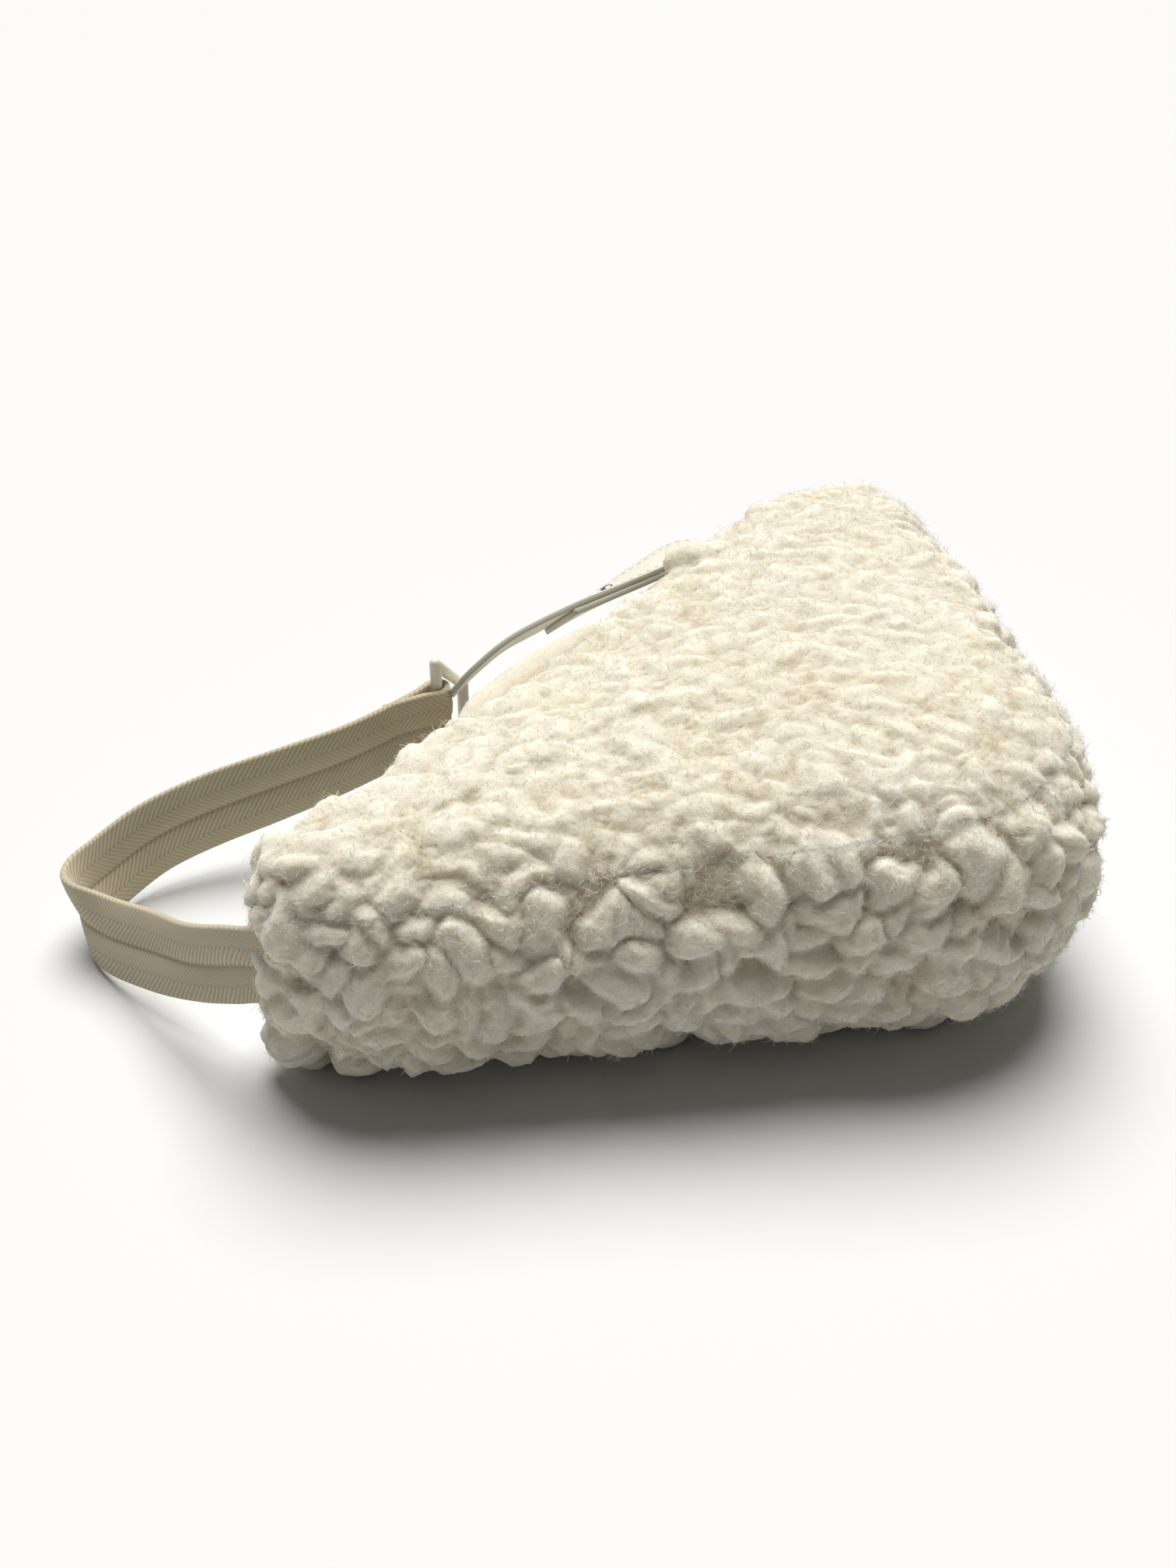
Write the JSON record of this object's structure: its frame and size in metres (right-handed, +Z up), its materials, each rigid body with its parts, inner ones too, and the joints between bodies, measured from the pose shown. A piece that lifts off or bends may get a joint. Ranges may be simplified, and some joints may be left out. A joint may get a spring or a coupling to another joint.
{
  "type": "hand warmer muff",
  "caption": "Curly fleece half-moon hand warmer pouch with a straight zipped mouth, webbing carrying strap, coated buckle and folded leather billet.",
  "frame": {"origin": "centre of the bottom of the whole object's box, on the surface the pouch lies on", "axes": "+X from the zipped mouth to the rounded base, +Y along the mouth from the webbing end to the leather end, +Z up through the back and front panels"},
  "size_m": [0.2576, 0.2962, 0.0925],
  "materials": {
    "fleece": "curly sherpa pile, cream",
    "wadding": "needled polyester wadding",
    "lining": "plain weave cotton lining",
    "zip_tape": "herringbone zip tape",
    "zip_metal": "polished nickel plate",
    "webbing": "herringbone cotton webbing, khaki beige",
    "leather": "smooth ivory leather with painted edges",
    "thread": "waxed saddle thread",
    "buckle_coat": "cream enamel coat",
    "silver": "polished nickel plate"
  },
  "bodies": {
    "pouch": {"front_panel": "fleece", "back_panel": "fleece", "near_gusset": "fleece", "far_gusset": "fleece", "mouth_panel": "fleece", "back_lip": "fleece", "wadding_front": "wadding", "wadding_back": "wadding", "wadding_sides": "wadding", "lining": "lining", "zip_facings": "lining", "zip_tape_back": "zip_tape", "zip_tape_front": "zip_tape", "zip_end_tabs": "zip_tape", "zip_teeth_back": "zip_metal", "zip_teeth_front": "zip_metal", "zip_end_stops": "zip_metal", "strap_root_near": "webbing", "strap_root_far": "leather"},
    "slider": {"zip_slider": "zip_metal"},
    "pull": {"zip_pull": "zip_metal"},
    "strap": {"strap_webbing": "webbing", "webbing_wrap": "webbing", "billet_outer": "leather", "billet_under": "leather", "billet_stitching": "thread", "buckle_frame": "buckle_coat", "billet_rivet": "silver"},
    "prong": {"buckle_prong": "silver"}
  },
  "joints": [
    {"name": "zip_slide", "type": "slide", "parent": "pouch", "child": "slider", "axis": [0, 1, 0], "range_m": [0, 0.164]},
    {"name": "pull_hinge", "type": "hinge", "parent": "slider", "child": "pull", "pos_m": [-0.03871, -0.08387, 0.06], "axis": [0, 0, 1], "range_deg": [0, 140]},
    {"name": "strap_swing", "type": "hinge", "parent": "pouch", "child": "strap", "pos_m": [-0.04521, -0.14487, 0.036], "axis": [-0.0175, 0.9987, 0.0489], "range_deg": [0, 40]},
    {"name": "prong_hinge", "type": "hinge", "parent": "strap", "child": "prong", "pos_m": [-0.08271, -0.01737, 0.033], "axis": [0, 0, 1], "range_deg": [0, 90]}
  ]
}
